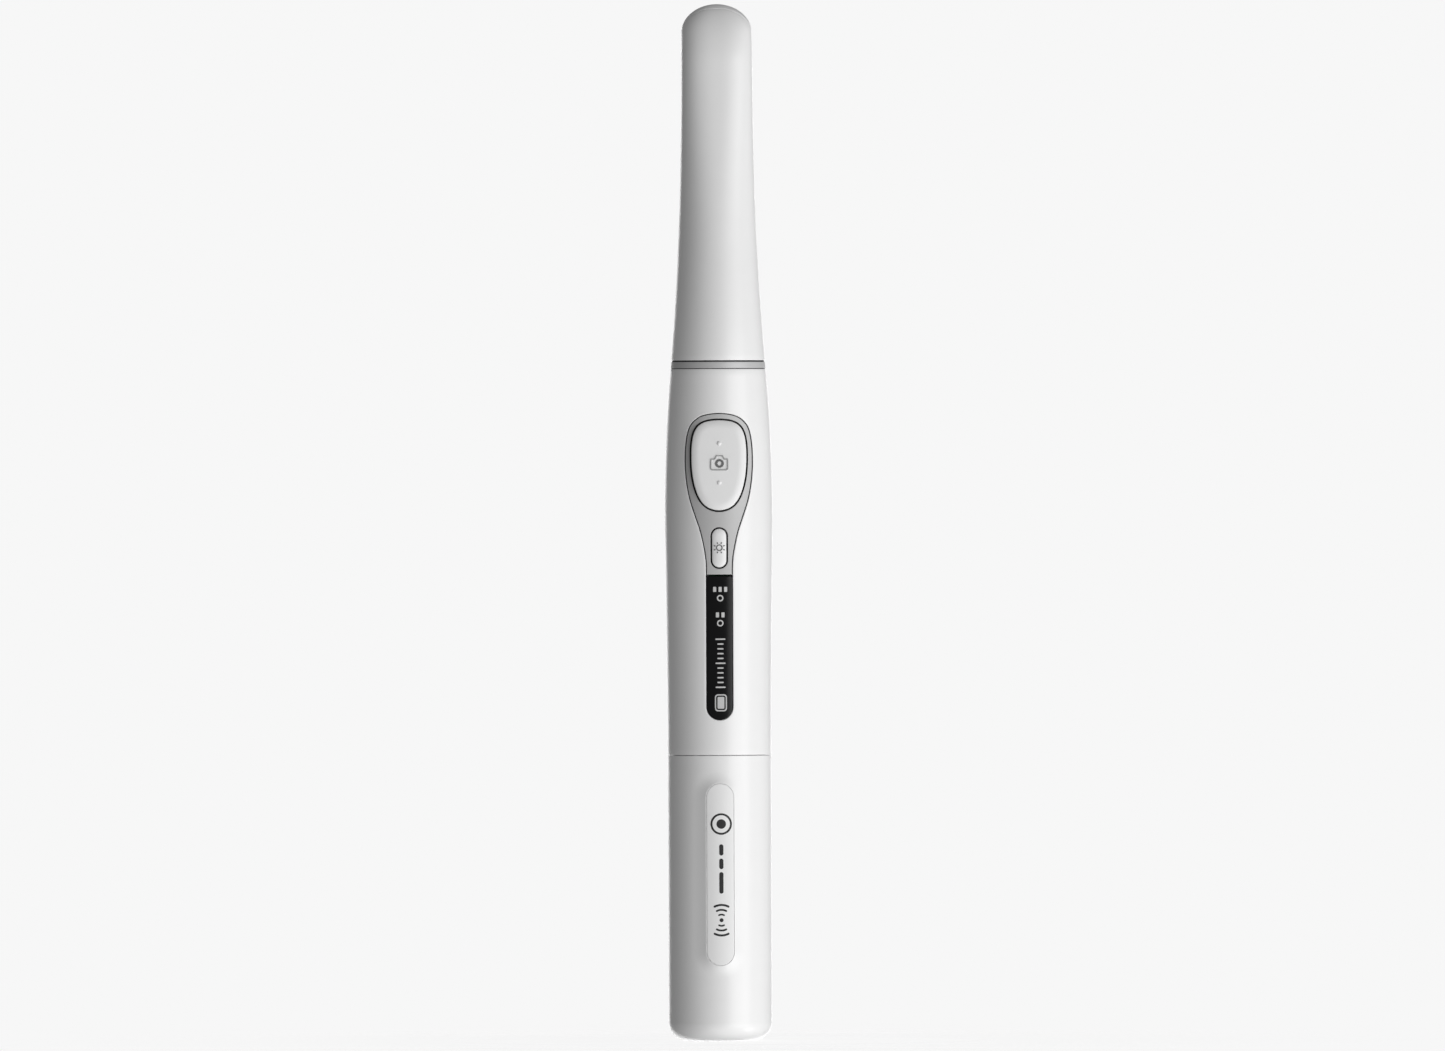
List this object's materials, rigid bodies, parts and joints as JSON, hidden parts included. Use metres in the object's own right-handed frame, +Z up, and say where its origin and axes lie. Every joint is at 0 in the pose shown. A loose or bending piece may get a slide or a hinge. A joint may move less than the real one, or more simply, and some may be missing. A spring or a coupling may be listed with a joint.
{
  "type": "intraoral camera",
  "caption": "Cordless pen-shaped dental camera: battery module that pulls off, grip with capture and light keys, status strip, and a slim bent neck ending in a lens ringed by lamps.",
  "frame": {"origin": "centre of the flat base face of the battery module", "axes": "+Z up the barrel towards the camera head, +Y the way the lens looks, -Y the side of the keys, +X to the right when facing the keys"},
  "size_m": [0.0216, 0.0242, 0.2074],
  "materials": {
    "shell_white": "satin moulded white",
    "cover_white": "satin moulded white",
    "key_white": "soft satin white",
    "bezel_grey": "fine satin silver-grey paint",
    "ring_grey": "fine satin silver-grey paint",
    "window_black": "polished black",
    "lens_black": "polished black",
    "dark_plastic": "fine moulded black",
    "frame_plastic": "moulded grey",
    "collar_plastic": "moulded light grey",
    "seal_rubber": "matt",
    "adhesive": "foam tape",
    "cell_wrap": "shrink wrap",
    "nickel": "bright strip",
    "gold_contact": "gold plated",
    "screw_steel": "bright",
    "chassis_metal": "cast, bead blasted",
    "sleeve_metal": "turned",
    "can_metal": "tinned sheet",
    "board_green": "solder mask over glass fibre",
    "board_white": "white solder mask",
    "chip_black": "moulded package",
    "connector_ivory": "moulded",
    "flex_amber": "polyimide ribbon",
    "guide_clear": "frosted clear acrylic",
    "lamp_yellow": "phosphor over package",
    "clear_glass": "polished",
    "lamp_clear": "moulded clear",
    "filter_glass": "coated",
    "lens_glass": "coated",
    "magnet_metal": "nickel plated",
    "coil_copper": "enamelled copper wire",
    "housing_steel": "stamped",
    "spreader_copper": "copper sheet"
  },
  "bodies": {
    "battery_module": {"module_shell": "shell_white", "antenna_cover": "cover_white", "battery_cell": "cell_wrap", "cell_tabs": "nickel", "cell_cradle": "dark_plastic", "radio_board": "board_green", "radio_chips": "can_metal", "charge_board": "board_green", "charge_contacts": "gold_contact", "module_collar": "collar_plastic", "coupling_seal": "seal_rubber", "contact_block": "dark_plastic", "contact_pads": "gold_contact", "block_screws": "screw_steel"},
    "handle": {"handle_shell": "shell_white", "handle_socket": "collar_plastic", "contact_carrier": "dark_plastic", "spring_pins": "gold_contact", "contact_board": "board_green", "chassis": "chassis_metal", "chassis_screws": "screw_steel", "main_board": "board_green", "image_processor": "chip_black", "memory_chip": "chip_black", "shield_can": "can_metal", "head_connector": "connector_ivory", "bezel_plate": "bezel_grey", "bezel_adhesive": "adhesive", "status_window": "window_black", "light_guides": "guide_clear", "status_lamps": "lamp_yellow", "capture_switch": "dark_plastic", "light_switch": "dark_plastic", "trim_ring": "ring_grey", "neck_seal": "seal_rubber", "neck_sleeve": "sleeve_metal", "head_flex": "flex_amber", "head_back_shell": "shell_white", "head_front_shell": "shell_white", "lens_bezel": "lens_black", "lens_window": "clear_glass", "window_seal": "seal_rubber", "lamp_board": "board_white", "lamps": "lamp_yellow", "lamp_lenses": "lamp_clear", "focus_housing": "housing_steel", "focus_magnets": "magnet_metal", "ir_filter": "filter_glass", "image_sensor": "chip_black", "sensor_board": "board_green", "heat_spreader": "spreader_copper"},
    "capture_key": {"capture_button": "key_white"},
    "capture_stem": {"capture_plunger": "collar_plastic"},
    "light_key": {"light_button": "key_white"},
    "light_stem": {"light_plunger": "collar_plastic"},
    "focus_carriage": {"lens_barrel": "lens_black", "focus_coil": "coil_copper", "lens_elements": "lens_glass"}
  },
  "joints": [
    {"name": "module_pull", "type": "slide", "parent": "battery_module", "child": "handle", "axis": [0, 0, 1], "range_m": [0, 0.014]},
    {"name": "capture_press", "type": "slide", "parent": "handle", "child": "capture_key", "axis": [0, 1, 0], "range_m": [0, 0.00035], "stiffness_N_per_m": 20},
    {"name": "capture_stem_press", "type": "slide", "parent": "handle", "child": "capture_stem", "axis": [0, 1, 0], "range_m": [0, 0.00035]},
    {"name": "light_press", "type": "slide", "parent": "handle", "child": "light_key", "axis": [0, 1, 0], "range_m": [0, 0.0003], "stiffness_N_per_m": 10},
    {"name": "light_stem_press", "type": "slide", "parent": "handle", "child": "light_stem", "axis": [0, 1, 0], "range_m": [0, 0.0003]},
    {"name": "focus_slide", "type": "slide", "parent": "handle", "child": "focus_carriage", "axis": [0, 0.9903, -0.1392], "range_m": [0, 0.0004]}
  ],
  "couplings": [
    {"joint": "capture_stem_press", "follows": "capture_press", "ratio": 1},
    {"joint": "light_stem_press", "follows": "light_press", "ratio": 1}
  ]
}
